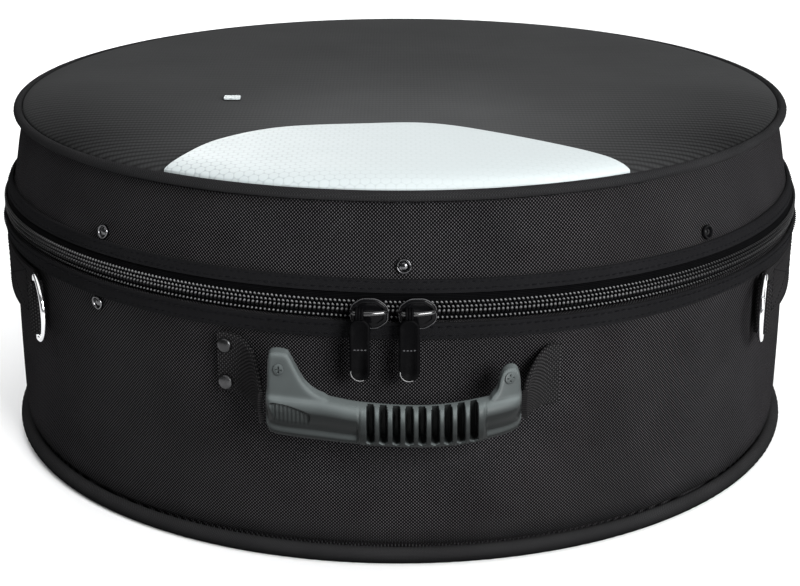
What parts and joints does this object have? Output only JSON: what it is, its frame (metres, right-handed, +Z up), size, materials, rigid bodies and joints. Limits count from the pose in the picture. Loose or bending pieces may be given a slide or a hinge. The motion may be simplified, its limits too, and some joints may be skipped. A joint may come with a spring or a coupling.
{
  "type": "drum bag",
  "caption": "Round padded snare drum bag in black woven nylon, with a zipped lid, piped seams, a moulded grip on webbing and rings for a shoulder strap.",
  "frame": {"origin": "centre of the base's underside, on the surface that the bag stands on", "axes": "+Z up along the bag's axis, -Y to the front with the grip and the zip sliders, +X to the bag's right as seen from the front"},
  "size_m": [0.4012, 0.4296, 0.1709],
  "materials": {
    "nylon_weave": "black woven nylon, dull",
    "lid_weave": "charcoal ribbed weave with a slight sheen",
    "binding": "smooth black binding tape",
    "zip_black": "black coil zip, satin",
    "hardware_black": "gloss black",
    "pale_weave": "pale grey-white honeycomb weave",
    "grip_plastic": "satin dark grey moulded plastic",
    "webbing": "black ribbed webbing",
    "steel": "bright plated steel"
  },
  "bodies": {
    "bag": {"base_panel": "nylon_weave", "base_welt": "binding", "body_wall": "nylon_weave", "body_tape": "binding", "zip_chain": "zip_black", "back_hinge": "nylon_weave", "lid_tape": "binding", "lid_wall": "nylon_weave", "lid_panel": "lid_weave", "lid_welt": "binding", "lid_insert": "pale_weave", "lid_tag": "pale_weave", "slider_left": "hardware_black", "slider_right": "hardware_black", "handle_grip": "grip_plastic", "grip_screw_left": "hardware_black", "grip_screw_right": "hardware_black", "handle_strap_left": "webbing", "handle_strap_right": "webbing", "handle_rivet_upper": "hardware_black", "handle_rivet_lower": "hardware_black", "stud_lid_front": "hardware_black", "stud_lid_left": "hardware_black", "stud_lid_right": "hardware_black", "stud_body_left": "hardware_black", "dring_tab_left": "webbing", "dring_tab_right": "webbing"},
    "pull_left": {"pull_left": "hardware_black"},
    "pull_right": {"pull_right": "hardware_black"},
    "dring_left": {"dring_left": "steel"},
    "dring_right": {"dring_right": "steel"}
  },
  "joints": [
    {"name": "pull_left_swing", "type": "hinge", "parent": "bag", "child": "pull_left", "pos_m": [-0.01279, -0.2062, 0.1183], "axis": [-0.9981, 0.0619, 0], "range_deg": [-14, 165]},
    {"name": "pull_right_swing", "type": "hinge", "parent": "bag", "child": "pull_right", "pos_m": [0.00739, -0.20647, 0.1183], "axis": [-0.9994, -0.0358, 0], "range_deg": [-14, 165]},
    {"name": "dring_left_swing", "type": "hinge", "parent": "bag", "child": "dring_left", "pos_m": [-0.16795, -0.11116, 0.087], "axis": [0, 0, -1], "range_deg": [-11, 155]},
    {"name": "dring_right_swing", "type": "hinge", "parent": "bag", "child": "dring_right", "pos_m": [0.16795, -0.11116, 0.087], "axis": [0, 0, 1], "range_deg": [-19, 147]}
  ]
}
